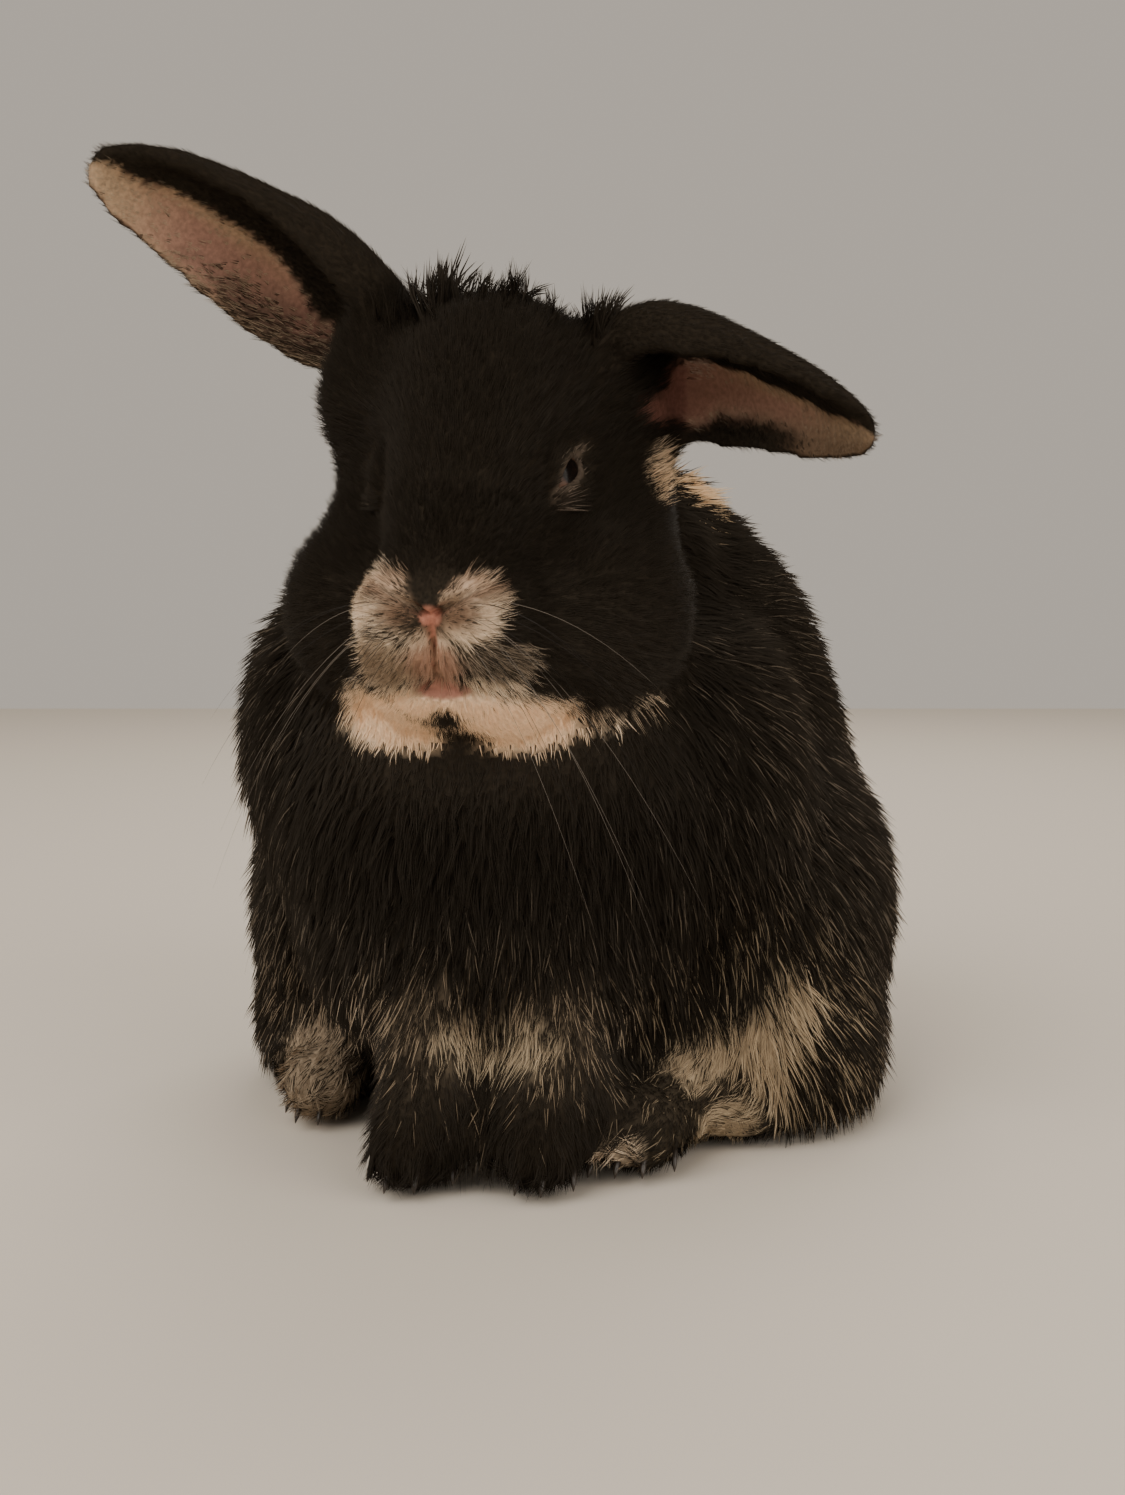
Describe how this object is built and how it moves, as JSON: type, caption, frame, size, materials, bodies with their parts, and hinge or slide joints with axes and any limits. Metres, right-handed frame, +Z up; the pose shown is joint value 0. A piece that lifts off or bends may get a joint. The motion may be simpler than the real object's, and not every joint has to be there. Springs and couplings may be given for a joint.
{
  "type": "lop rabbit",
  "caption": "Still life-size model of a sitting black lop rabbit with a pale muzzle, one ear lifted sideways and the other drooping.",
  "frame": {"origin": "on the floor under the middle of the animal's outline", "axes": "+Z up, the rabbit looks along -Y, its left side is +X"},
  "size_m": [0.2052, 0.244, 0.2412],
  "materials": {
    "coat": "soft dense fur",
    "nose_skin": "bare moist skin",
    "eye": "wet gloss",
    "whisker": "fine stiff hair",
    "claw": "smooth horn"
  },
  "bodies": {
    "root": {"head": "coat", "muzzle": "coat", "lower_jaw": "coat", "nose": "nose_skin", "eye_left": "eye", "eye_right": "eye", "ear_left": "coat", "ear_right": "coat", "neck": "coat", "trunk": "coat", "tail": "coat", "foreleg_left": "coat", "foreleg_right": "coat", "thigh_left": "coat", "thigh_right": "coat", "hindfoot_left": "coat", "hindfoot_right": "coat"}
  },
  "joints": []
}
